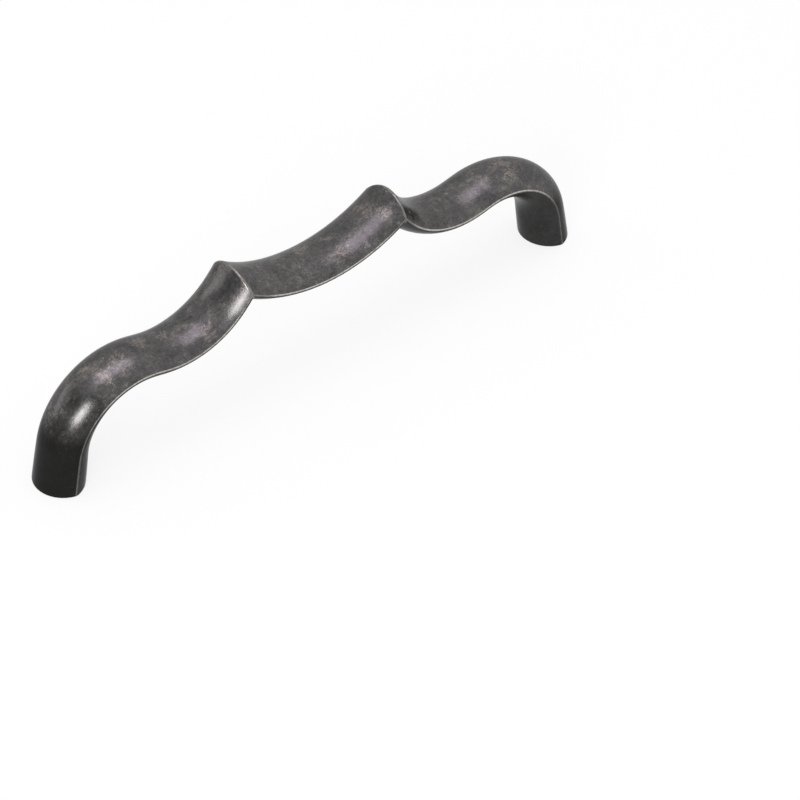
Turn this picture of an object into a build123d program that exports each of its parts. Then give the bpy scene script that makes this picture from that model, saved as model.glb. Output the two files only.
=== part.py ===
"""Bar pull cast in one piece: a lens section swept from foot to foot, mitred at two cusps.

The pull stands on its mounting plane: X along the length, Y across the width, Z away from the
door. The origin lies midway between the two screw holes. Lengths are in mm, angles in degrees.
"""
import os
from math import cos, radians, sin, tan

from build123d import *

# Screw holes
hole_spacing = 128.0
thread_core_radius = 1.62
thread_depth = 9.5
drill_point_angle = 118.0
countersink_radius = 2.6
countersink_angle = 120.0

# Section: two equal arcs back to back, with a narrow flat land along each side
width = 12.9
land = 0.6
foot_bulge = 5.1
waist_bulge = 3.45
bar_bulge = 2.85

# Side line of one arm: up the leg, over the shoulder and through the dip to the cusp
leg_lean = 10.0
leg_length = 8.4
shoulder_radius = 16.2
shoulder_turn = 93.0
ramp_length = 2.4
dip_radius = 19.6
dip_turn = 60.0

# The middle is one arc. Each arm ends with a short run on the same radius, up to the mitre.
middle_turn = 66.6
run_turn = 5.6
overrun_turn = 6.4

# Softened edges: the crest of each cusp and the rim of each foot
crest_radius = 0.5
rim_bevel = 0.3

# Sections drawn along the taper, from foot to waist and from waist to bar
leg_stations = 6
dip_stations = 4


def ease(t):
    """Smooth step from 0 to 1."""
    return t * t * (3 - 2 * t)


def section(origin, heading, bulge):
    """Draw the lens square to a side line, thick along the line's normal."""
    edge, brow = width / 2, land / 2
    with BuildSketch(Plane(origin=origin, x_dir=(0, 1, 0), z_dir=heading)) as lens:
        with BuildLine():
            outer = ThreePointArc((-edge, brow), (0, bulge), (edge, brow))
            inner = ThreePointArc((-edge, -brow), (0, -bulge), (edge, -brow))
            Line(outer @ 0, inner @ 0)
            Line(outer @ 1, inner @ 1)
        make_face()
    return lens.sketch.face()


# Side line of the left arm. It starts far enough under the mounting plane to cut the foot whole.
foot_angle = 90 - leg_lean
sunk_length = foot_bulge * tan(radians(2 * leg_lean))
up_the_leg = Vector(1, 0, 0).rotate(Axis.Y, -foot_angle)
sunk_end = Vector(-hole_spacing / 2, 0, 0) - up_the_leg * sunk_length
ramp_heading = foot_angle - shoulder_turn
dip_heading = ramp_heading + dip_turn
cusp_heading = dip_heading + run_turn
with BuildLine(Plane.XZ):
    leg = PolarLine((sunk_end.X, sunk_end.Z), sunk_length + leg_length, foot_angle)
    shoulder = JernArc(leg @ 1, leg % 1, shoulder_radius, -shoulder_turn)
    ramp = PolarLine(shoulder @ 1, ramp_length, ramp_heading)
    dip = JernArc(ramp @ 1, ramp % 1, dip_radius, dip_turn)
    # With this radius the run and half the middle arc together reach from the dip to X = 0
    half_span = sin(radians(cusp_heading)) - sin(radians(dip_heading)) + sin(radians(middle_turn / 2))
    bar_radius = -(dip @ 1).X / half_span
    run = JernArc(dip @ 1, dip % 1, bar_radius, run_turn)

# The mitre plane halves the turn between the arm's end and the start of the middle arc
cusp = run @ 1
bar_centre = Vector(0, 0, cusp.Z + bar_radius * cos(radians(middle_turn / 2)))
run_centre = dip @ 1 + (dip % 1).rotate(Axis.Y, -90) * bar_radius
run_axis, bar_axis = Axis(run_centre, (0, -1, 0)), Axis(bar_centre, (0, -1, 0))
mitre = Plane(origin=cusp, x_dir=(0, 1, 0), z_dir=bar_centre - run_centre)

# Where the middle arc's section starts, a little outside the mitre
start_heading = Vector(1, 0, 0).rotate(Axis.Y, middle_turn / 2 + overrun_turn)
start = bar_centre - start_heading.rotate(Axis.Y, -90) * bar_radius

with BuildPart() as arm:
    to_waist = Wire([leg, shoulder, ramp])
    stations = []
    for k in range(leg_stations):
        u = k / leg_stations
        bulge = foot_bulge + (waist_bulge - foot_bulge) * ease(u)
        stations.append(section(to_waist @ u, to_waist % u, bulge))
    for k in range(dip_stations + 1):
        u = k / dip_stations
        bulge = waist_bulge + (bar_bulge - waist_bulge) * ease(u)
        stations.append(section(dip @ u, dip % u, bulge))
    # The sweep is carried on past the dip and cut back, so that it ends level with the run
    past_dip = section(run @ 1, run % 1, bar_bulge)
    sweep([*stations, past_dip], path=Wire([leg, shoulder, ramp, dip, run]), multisection=True)
    split(bisect_by=Plane(origin=dip @ 1, z_dir=dip % 1), keep=Keep.BOTTOM)
    revolve(stations[-1], axis=run_axis, revolution_arc=run_turn + overrun_turn)
    split(bisect_by=Plane.XY, keep=Keep.TOP)
    split(bisect_by=mitre, keep=Keep.BOTTOM)

with BuildPart() as half_middle:
    revolve(section(start, start_heading, bar_bulge), axis=bar_axis,
            revolution_arc=middle_turn / 2 + 2 * overrun_turn)
    split(bisect_by=mitre, keep=Keep.TOP)
    split(bisect_by=Plane.YZ, keep=Keep.BOTTOM)

with BuildPart() as half_pull:
    add(arm.part)
    add(half_middle.part)
    # Of the two edges in the mitre, the upper one is the crest. The crease below it stays sharp.
    fillet(half_pull.edges().filter_by(mitre).sort_by(Axis.Z)[-1], crest_radius)

with BuildPart() as bar_pull:
    add(half_pull.part)
    mirror(about=Plane.YZ)
    # Screw holes: countersink, thread core and drill point, square to the mounting plane
    countersink_depth = (countersink_radius - thread_core_radius) / tan(radians(countersink_angle / 2))
    point_depth = thread_core_radius / tan(radians(drill_point_angle / 2))
    for side in (-1, 1):
        mouth = Vector(side * hole_spacing / 2, 0, 0)
        with BuildSketch(Plane(origin=mouth, x_dir=(1, 0, 0), z_dir=(0, -1, 0))):
            with BuildLine():
                Polyline((0, 0), (countersink_radius, 0), (thread_core_radius, countersink_depth),
                         (thread_core_radius, thread_depth), (0, thread_depth + point_depth),
                         close=True)
            make_face()
        revolve(axis=Axis(mouth, (0, 0, 1)), mode=Mode.SUBTRACT)
    # Outer rims of the two feet
    for sole in bar_pull.faces().filter_by(Plane.XY).group_by(Axis.Z)[0]:
        chamfer(sole.outer_wire().edges(), rim_bevel)

bar_pull.part.label = "bar_pull"
os.makedirs("parts", exist_ok=True)
export_step(bar_pull.part, "parts/bar_pull.step")
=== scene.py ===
"""Looks of the cast bar pull: blackened pewter plating rubbed pale at its edges, on white paper.
The edges also carry a painted glint, and the legs a painted shade low down.
"""

from math import cos, pi, radians, sin

import bpy
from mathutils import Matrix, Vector

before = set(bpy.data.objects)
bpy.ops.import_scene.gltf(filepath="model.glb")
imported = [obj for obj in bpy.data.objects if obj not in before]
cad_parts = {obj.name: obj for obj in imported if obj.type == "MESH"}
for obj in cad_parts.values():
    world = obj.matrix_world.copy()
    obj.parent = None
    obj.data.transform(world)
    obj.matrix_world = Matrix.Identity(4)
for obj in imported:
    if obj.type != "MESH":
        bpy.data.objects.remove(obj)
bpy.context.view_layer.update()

# The pull
# One piece of zinc alloy, die-cast, plated, blackened like old pewter and tumbled, so that the
# proud places and every edge are rubbed back to paler metal. It screws on from behind.
mm = 0.001
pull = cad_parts["bar_pull"]

# Its side line in mm, as drawn: foot, leg, shoulder, ramp, dip, run and middle arc of the left
# half. The wear follows this line, so the centres of its arcs are worked out here.
half_width = 6.45
foot = Vector((-64.0, 0, 0))
leg_heading, leg_length = 80.0, 8.4
shoulder_radius, shoulder_turn = 16.2, 93.0
ramp_length = 2.4
dip_radius, dip_turn = 19.6, 60.0
run_turn, middle_turn = 5.6, 66.6


def ahead(heading):
    """Unit vector in the side view, for a heading in degrees above +X."""
    return Vector((cos(radians(heading)), 0, sin(radians(heading))))


ramp_heading = leg_heading - shoulder_turn
run_heading = ramp_heading + dip_turn
cusp_heading = run_heading + run_turn
leg_top = foot + leg_length * ahead(leg_heading)
shoulder_centre = leg_top + shoulder_radius * ahead(leg_heading - 90)
ramp_start = shoulder_centre + shoulder_radius * ahead(ramp_heading + 90)
dip_start = ramp_start + ramp_length * ahead(ramp_heading)
dip_centre = dip_start + dip_radius * ahead(ramp_heading + 90)
dip_end = dip_centre + dip_radius * ahead(run_heading - 90)
run_span = sin(radians(cusp_heading)) - sin(radians(run_heading))
bar_radius = -dip_end.x / (run_span + sin(radians(middle_turn / 2)))
run_centre = dip_end + bar_radius * ahead(run_heading + 90)
cusp = run_centre + bar_radius * ahead(cusp_heading - 90)
bar_centre = cusp + bar_radius * ahead(90 - middle_turn / 2)


def srgb(text):
    """Linear colour of an sRGB hex value."""
    parts = [int(text[i:i + 2], 16) / 255 for i in (1, 3, 5)]
    return [c / 12.92 if c <= 0.04045 else ((c + 0.055) / 1.055) ** 2.4 for c in parts] + [1.0]


def add_node(tree, kind, values):
    """Add a shader node. Values set its attributes and sockets; nodes and outputs are linked in."""
    node = tree.nodes.new("ShaderNode" + kind)
    for name, value in values.items():
        if isinstance(value, bpy.types.Node):
            value = next(output for output in value.outputs if output.enabled)
        if isinstance(value, bpy.types.NodeSocket):
            tree.links.new(value, node.inputs[name])
        elif isinstance(name, str) and hasattr(node, name):
            setattr(node, name, value)
        else:
            node.inputs[name].default_value = value
    return node


# Blackened pewter plating, tumbled. The eye sees a dark neutral grey metal, cloudy and finely
# scratched, with beige flecks where the black is thin and a pale thread along the edges. The thread
# is rubbed metal and partly a painted glint.
black, plating, bloom, bare_metal_and_glint = srgb("#191918"), srgb("#716f6f"), srgb("#968d84"), srgb("#d0cbc4")
pewter = bpy.data.materials.new("blackened_pewter_plating_tumbled")
pewter.use_nodes = True
tree = pewter.node_tree
tree.nodes.clear()

# Most masks fade smoothly from To Min to To Max, where To Max is often another mask. The lower
# and the upper colour of a Mix go in by number, because several of its inputs are called A or B.
smooth = {"interpolation_type": "SMOOTHSTEP"}
lower, upper = 6, 7

# Where a point is, in mm. The right half is folded onto the left for what both halves share.
metres = add_node(tree, "TexCoord", {}).outputs["Object"]
place = add_node(tree, "VectorMath", {"operation": "SCALE", 0: metres, "Scale": 1 / mm})
folded = add_node(tree, "VectorMath", {"operation": "ABSOLUTE", 0: place})
axes = add_node(tree, "SeparateXYZ", {0: folded}).outputs
side_on = add_node(tree, "VectorMath", {"operation": "MULTIPLY", 0: folded, 1: (-1, 0, 1)})

# How far it is outside the side line: above 0 on the outer face, below 0 on the inner face. It
# starts from the straight leg. Each row then says where an arc takes over, its centre and its
# radius, with 1 where the outer face lies outside the arc and -1 where it lies inside.
off_foot = add_node(tree, "VectorMath", {"operation": "SUBTRACT", 0: side_on, 1: foot})
outside = add_node(tree, "VectorMath", {"operation": "DOT_PRODUCT", 0: off_foot,
                                        1: ahead(leg_heading + 90)})
ramp_middle = (ramp_start + dip_start) / 2
for test, axis, border, centre, radius, sign in (
        ("GREATER_THAN", "Z", leg_top.z, shoulder_centre, shoulder_radius, 1),
        ("LESS_THAN", "X", -ramp_middle.x, dip_centre, dip_radius, -1),
        ("LESS_THAN", "X", -dip_end.x, run_centre, bar_radius, -1),
        ("LESS_THAN", "X", -cusp.x, bar_centre, bar_radius, -1)):
    past = add_node(tree, "Math", {"operation": test, 0: axes[axis], 1: border})
    spread = add_node(tree, "VectorMath", {"operation": "DISTANCE", 0: side_on, 1: centre})
    offset = add_node(tree, "Math", {"operation": "MULTIPLY_ADD", 0: spread, 1: sign,
                                     2: -sign * radius})
    outside = add_node(tree, "Mix", {"Factor": past, "A": outside, "B": offset})

# Clouds, grain and specks of the blackening, by the width of a blotch in mm. Their values stay
# mostly between 0.3 and 0.7, around 0.5.
cloud_width, grain_width, speck_width = 4.5, 0.8, 0.35
clouds = add_node(tree, "TexNoise", {"Vector": place, "Scale": 1 / cloud_width, "Detail": 5.0,
                                     "Roughness": 0.62, "Distortion": 0.6})
grain = add_node(tree, "TexNoise", {"Vector": place, "Scale": 1 / grain_width, "Detail": 4.0,
                                    "Roughness": 0.7, "Distortion": 1.0})
specks = add_node(tree, "TexNoise", {"Vector": place, "Scale": 1 / speck_width, "Detail": 2.0,
                                     "Roughness": 0.6, "Distortion": 1.5})
mottle = add_node(tree, "Mix", {"Factor": 0.58, "A": clouds, "B": grain})

# Two sets of hair-fine scratches, mostly in the paler clouds. Each set follows one level of a
# noise with blotches about 8 mm long, 2 mm across and 3 mm high. A real scratch is a tenth as
# wide, and is drawn wider so that it shows.
strand_size, level_band = (25 / 3, 2.0, 10 / 3), 0.006
scratched = 0.0
for slant, level in ((0.5, 0.5), (2.0, 0.47)):
    turned = add_node(tree, "Mapping", {"Vector": place, "Rotation": (0.4, 0.3, slant),
                                        "Scale": [1 / size for size in strand_size]})
    strands = add_node(tree, "TexNoise", {"Vector": turned, "Scale": 1.0, "Detail": 3.0,
                                          "Distortion": 0.5})
    line = add_node(tree, "Math", {"operation": "COMPARE", 0: strands, 1: level, 2: level_band})
    scratched = add_node(tree, "Math", {"operation": "MAXIMUM", 0: scratched, 1: line})
scratched = add_node(tree, "MapRange", {**smooth, "Value": clouds, "From Min": 0.44,
                                        "From Max": 0.62, "To Max": scratched})

# Places rubbed thin, partly painted sheen, and places left thick with black, partly painted shade:
# centre and reach in mm. Scratch scripts worked the centres out, as points of the pull's surface
# under pixels of the photo, and they are rounded to whole mm. The reaches are given one by one.
thin_and_sheen_places = [((-64, 1, 16), 4.5), ((-55, 1, 24), 4), ((-53, -3, 24), 4), ((-50, -1, 25), 5),
               ((-43, 1, 25), 3), ((-38, 1, 24), 3), ((-20, -5, 31), 2.5), ((-13, 1, 29), 3),
               ((-7, 3, 27), 3), ((-1, 3, 26), 3.5), ((5, 2, 26), 3), ((11, -6, 26), 3),
               ((15, 1, 30), 4.5), ((17, -3, 30), 3), ((20, 1, 33), 3), ((22, -5, 29), 3),
               ((51, -1, 25), 4.5), ((51, -3, 24), 3.5)]
thick_and_shade_places = [((-60, -2, 20), 3), ((-58, -7, 18), 4.5), ((-57, -5, 21), 2.5),
                ((-29, -3, 24), 2.5), ((-21, 4, 30), 2.5), ((5, -4, 26), 3)]


def mask_of(places):
    """Mask that is 1 at the centre of each place and fades to 0 at its reach."""
    mask = 0.0
    for centre, reach in places:
        away = add_node(tree, "VectorMath", {"operation": "DISTANCE", 0: place, 1: centre})
        near = add_node(tree, "MapRange", {**smooth, "Value": away, "From Min": reach,
                                           "From Max": 0.0})
        mask = add_node(tree, "Math", {"operation": "MAXIMUM", 0: mask, 1: near})
    return mask


thin_and_sheen = mask_of(thin_and_sheen_places)
thick_and_shade = mask_of(thick_and_shade_places)

# Lightness of the blackening: mottled and dark on the inner face. Low on the legs it is taken
# almost to black, which is painted shade.
leg_shade_full_below, leg_shade_gone_above = 12.0, 18.5
inner_lightness, thick_and_shade_darkening = 0.28, 0.62
outer_face = add_node(tree, "MapRange", {**smooth, "Value": outside, "From Min": -0.2,
                                         "From Max": 0.3})
above_leg_shade = add_node(tree, "MapRange", {**smooth, "Value": axes["Z"], "From Min": leg_shade_full_below,
                                         "From Max": leg_shade_gone_above, "To Min": 0.06})
blackened = add_node(tree, "Mix", {"Factor": outer_face, "A": inner_lightness, "B": above_leg_shade})
# Thick places lower the lightness, partly as painted shade; thin places lift it, partly as painted
# sheen.
lightest = add_node(tree, "Math", {"operation": "MULTIPLY_ADD", 0: thick_and_shade, 1: -thick_and_shade_darkening,
                                   2: blackened})
lifted = add_node(tree, "Math", {"operation": "MULTIPLY_ADD", 0: thin_and_sheen, 1: 0.06, 2: mottle})
lightness = add_node(tree, "MapRange", {"Value": lifted, "From Min": 0.19, "From Max": 0.74,
                                        "To Max": lightest})
tone = add_node(tree, "Mix", {"data_type": "RGBA", "Factor": lightness, lower: black,
                              upper: plating})

# Beige flecks, most of them in clusters at the thin places, and the scratches. Both fade out on
# the inner face and in the painted shade low on the legs.
outer_face_above_leg_shade = add_node(tree, "Math", {"operation": "MULTIPLY", 0: outer_face, 1: above_leg_shade})
clustered = add_node(tree, "Math", {"operation": "MULTIPLY_ADD", 0: thin_and_sheen, 1: 0.12, 2: mottle})
flecked = add_node(tree, "MapRange", {**smooth, "Value": specks, "From Min": 0.42,
                                      "From Max": 0.62, "To Max": outer_face_above_leg_shade})
flecked = add_node(tree, "MapRange", {**smooth, "Value": clustered, "From Min": 0.54,
                                      "From Max": 0.67, "To Max": flecked})
lined = add_node(tree, "Math", {"operation": "MULTIPLY", 0: scratched, 1: 0.4})
lined = add_node(tree, "Math", {"operation": "MULTIPLY", 0: lined, 1: outer_face_above_leg_shade})
fleck = add_node(tree, "Math", {"operation": "MAXIMUM", 0: flecked, 1: lined})
tone = add_node(tree, "Mix", {"data_type": "RGBA", "Factor": fleck, lower: tone, upper: bloom})

# Pale outer corner of each land: rubbed metal and partly a painted glint. It is dimmer low on the
# legs and in the recess beside each cusp. Heights, distances and widths are in mm.
edge_dim_below, edge_full_above = 13.0, 23.0
recess_near, recess_far = 2.0, 8.0
fade_depth, full_depth = 0.07, 0.01
high_up = add_node(tree, "MapRange", {**smooth, "Value": axes["Z"], "From Min": edge_dim_below,
                                      "From Max": edge_full_above, "To Min": 0.20})
from_cusp = add_node(tree, "VectorMath", {"operation": "DISTANCE", 0: side_on, 1: cusp})
clear = add_node(tree, "MapRange", {**smooth, "Value": from_cusp, "From Min": recess_near,
                                    "From Max": recess_far, "To Min": 0.25, "To Max": high_up})
beside = add_node(tree, "MapRange", {**smooth, "Value": axes["Y"],
                                     "From Min": half_width - fade_depth,
                                     "From Max": half_width - full_depth, "To Max": clear})
on_corner = add_node(tree, "MapRange", {**smooth, "Value": outside, "From Min": -0.18,
                                        "From Max": 0.31, "To Max": beside})

# Pale crest and crease, rubbed and partly a painted glint, both in the mitre plane through the cusp
mitre_reach, mitre_width = 0.42, 0.1
mitre_normal = (bar_centre - run_centre).normalized()
off_cusp = add_node(tree, "VectorMath", {"operation": "SUBTRACT", 0: side_on, 1: cusp})
off_mitre = add_node(tree, "VectorMath", {"operation": "DOT_PRODUCT", 0: off_cusp,
                                          1: mitre_normal})
off_mitre = add_node(tree, "Math", {"operation": "ABSOLUTE", 0: off_mitre})
on_mitre = add_node(tree, "MapRange", {**smooth, "Value": off_mitre, "From Min": mitre_reach,
                                       "From Max": mitre_width, "To Max": 0.24})

# Pale rims of the feet, rubbed and partly a painted glint. The flat soles stay dark.
rim_reach, rim_height = 0.4, 0.15
on_rim = add_node(tree, "MapRange", {**smooth, "Value": axes["Z"], "From Min": rim_reach,
                                     "From Max": rim_height, "To Max": 0.3})
above_sole = add_node(tree, "MapRange", {"Value": axes["Z"], "From Min": 0.03, "From Max": 0.06,
                                         "To Max": on_rim})

# All pale edges together, rubbed and partly painted glint, half of their strength broken up by the
# grain
edge = add_node(tree, "Math", {"operation": "MAXIMUM", 0: on_mitre, 1: above_sole})
edge = add_node(tree, "Math", {"operation": "MAXIMUM", 0: on_corner, 1: edge})
broken = add_node(tree, "MapRange", {**smooth, "Value": grain, "From Min": 0.36,
                                     "From Max": 0.54, "To Max": edge})
worn_edge_and_glint = add_node(tree, "Mix", {"Factor": 0.5, "A": edge, "B": broken})
tone = add_node(tree, "Mix", {"data_type": "RGBA", "Factor": worn_edge_and_glint, lower: tone, upper: bare_metal_and_glint})

# M4 thread in the two screw holes, in mm, right-handed. It is drawn in relief on the core's wall
# and runs out a little way into the countersink.
pitch, thread_core, thread_groove, thread_depth = 0.7, 1.62, 0.38, 9.5
run_out = 0.2
signed = add_node(tree, "SeparateXYZ", {0: place}).outputs
side = add_node(tree, "Math", {"operation": "SIGN", 0: signed["X"]})
from_axis = add_node(tree, "Math", {"operation": "MULTIPLY_ADD", 0: side, 1: foot.x,
                                    2: signed["X"]})
spoke = add_node(tree, "CombineXYZ", {"X": from_axis, "Y": signed["Y"]})
spoke_length = add_node(tree, "VectorMath", {"operation": "LENGTH", 0: spoke})
angle = add_node(tree, "Math", {"operation": "ARCTAN2", 0: signed["Y"], 1: from_axis})
turns = add_node(tree, "Math", {"operation": "DIVIDE", 0: angle, 1: -2 * pi})
helix = add_node(tree, "Math", {"operation": "MULTIPLY_ADD", 0: signed["Z"], 1: 1 / pitch,
                                2: turns})
ridge = add_node(tree, "Math", {"operation": "PINGPONG", 0: helix, 1: 0.5})
in_hole = add_node(tree, "Math", {"operation": "LESS_THAN", 0: spoke_length,
                                  1: thread_core + run_out})
below_top = add_node(tree, "Math", {"operation": "LESS_THAN", 0: signed["Z"], 1: thread_depth})
in_hole = add_node(tree, "Math", {"operation": "MULTIPLY", 0: in_hole, 1: below_top})
thread = add_node(tree, "Math", {"operation": "MULTIPLY", 0: ridge, 1: in_hole})

# The relief, in mm, joins the casting's fine grain, the thread and a slight roll-off towards
# each land, where polishing took more away. The roll-off keeps a highlight off the very edge.
grain_height, roll_width, roll_drop = 0.015, 1.3, 0.10
relief = add_node(tree, "Math", {"operation": "MULTIPLY", 0: mottle, 1: grain_height})
relief = add_node(tree, "Math", {"operation": "MULTIPLY_ADD", 0: thread, 1: 2 * thread_groove,
                                 2: relief})
brink = add_node(tree, "MapRange", {"Value": axes["Y"], "From Min": half_width - roll_width,
                                    "From Max": half_width})
brink = add_node(tree, "Math", {"operation": "MULTIPLY", 0: brink, 1: brink})
relief = add_node(tree, "Math", {"operation": "MULTIPLY_ADD", 0: brink, 1: -roll_drop, 2: relief})
skin = add_node(tree, "Bump", {"Strength": 1.0, "Distance": mm, "Height": relief})

# Satin metal, duller on the flecks and less bright at a glancing angle, under a thin dull lacquer
gloss = add_node(tree, "MapRange", {"Value": mottle, "From Min": 0.3, "From Max": 0.7,
                                    "To Min": 0.24, "To Max": 0.32})
gloss = add_node(tree, "Math", {"operation": "MULTIPLY_ADD", 0: fleck, 1: 0.15, 2: gloss})
metal = add_node(tree, "BsdfPrincipled", {"Base Color": tone, "Metallic": 1.0, "Roughness": gloss,
                                          "Normal": skin, "Specular Tint": srgb("#cacaca"),
                                          "Coat Weight": 0.12, "Coat Roughness": 0.25})
add_node(tree, "OutputMaterial", {"Surface": metal})
pull.data.materials.clear()
pull.data.materials.append(pewter)

# Studio floor
# White paper under the pull, a hair below its soles. What the camera and the metal see of it is
# mostly plain white, and the rest of it takes the pull's faint shadow.
floor_size, floor_gap = 6.0, 0.02 * mm
bpy.ops.object.select_all(action="DESELECT")
bpy.ops.mesh.primitive_plane_add(size=floor_size, location=(0, 0, -floor_gap))
floor = bpy.context.object
floor.name = "studio_floor"
paper = bpy.data.materials.new("white_paper_matt")
paper.use_nodes = True
tree = paper.node_tree
tree.nodes.clear()
ray = add_node(tree, "LightPath", {}).outputs
seen = add_node(tree, "Math", {"operation": "MAXIMUM", 0: ray["Is Camera Ray"],
                               1: ray["Is Glossy Ray"]})
seen = add_node(tree, "Math", {"operation": "MAXIMUM", 0: seen, 1: ray["Is Transmission Ray"]})
matt = add_node(tree, "BsdfDiffuse", {"Color": srgb("#e8e8e8")})
glow = add_node(tree, "Emission", {"Color": (1, 1, 1, 1), "Strength": seen})
lit = add_node(tree, "MixShader", {"Fac": 0.82, 1: matt, 2: glow})
add_node(tree, "OutputMaterial", {"Surface": lit})
floor.data.materials.append(paper)

# Light
# A pale room, a little darker to the pull's left, one softbox beside the camera, a weak one
# overhead and a long one low behind the left foot.
world = bpy.context.scene.world or bpy.data.worlds.new("studio")
bpy.context.scene.world = world
world.use_nodes = True
tree = world.node_tree
tree.nodes.clear()
bright_side = (0.75, 0.0, 0.66)
direction = add_node(tree, "TexCoord", {}).outputs["Generated"]
towards = add_node(tree, "VectorMath", {"operation": "DOT_PRODUCT", 0: direction, 1: bright_side})
level = add_node(tree, "MapRange", {**smooth, "Value": towards, "From Min": -0.7,
                                    "From Max": 0.6, "To Min": 0.45, "To Max": 0.95})
room = add_node(tree, "Background", {"Color": (1, 1, 1, 1), "Strength": level})
add_node(tree, "OutputWorld", {"Surface": room})

middle = Vector((0, 0, 20 * mm))


def softbox(name, azimuth, elevation, width, height, radiance, colour="#ffffff", distance=1.2):
    """Add a lamp that faces the pull. Its radiance is the brightness that the metal mirrors."""
    az, el = radians(azimuth), radians(elevation)
    spot = middle + distance * Vector((cos(el) * cos(az), cos(el) * sin(az), sin(el)))
    bpy.ops.object.light_add(type="AREA", location=spot)
    lamp = bpy.context.object
    lamp.name = name
    lamp.data.shape = "RECTANGLE"
    lamp.data.size, lamp.data.size_y = width, height
    lamp.data.energy = radiance * pi * width * height
    lamp.data.color = srgb(colour)[:3]
    lamp.rotation_euler = (middle - spot).to_track_quat("-Z", "Y").to_euler()


softbox("camera_side_softbox", -144.5, 26.8, 0.39, 0.445, 11.3)
softbox("overhead_softbox", 170, 89, 0.60, 0.90, 2.3, "#f7eafb")
softbox("low_back_softbox", 125, 14, 0.70, 0.35, 1.3)

# Camera
# A long lens that looks down at 42 degrees, 39 degrees round towards the left foot from square
# on. It is fitted to the pull's outline in the photo.
bpy.ops.object.camera_add(location=(-301.98 * mm, -391.07 * mm, 433.47 * mm),
                          rotation=(radians(47.819), radians(-0.904), radians(-39.027)))
camera = bpy.context.object
camera.data.lens = 141.11
camera.data.sensor_width = 36.0
camera.data.clip_start = 0.01
bpy.context.scene.camera = camera
bpy.context.scene.view_settings.view_transform = "Standard"
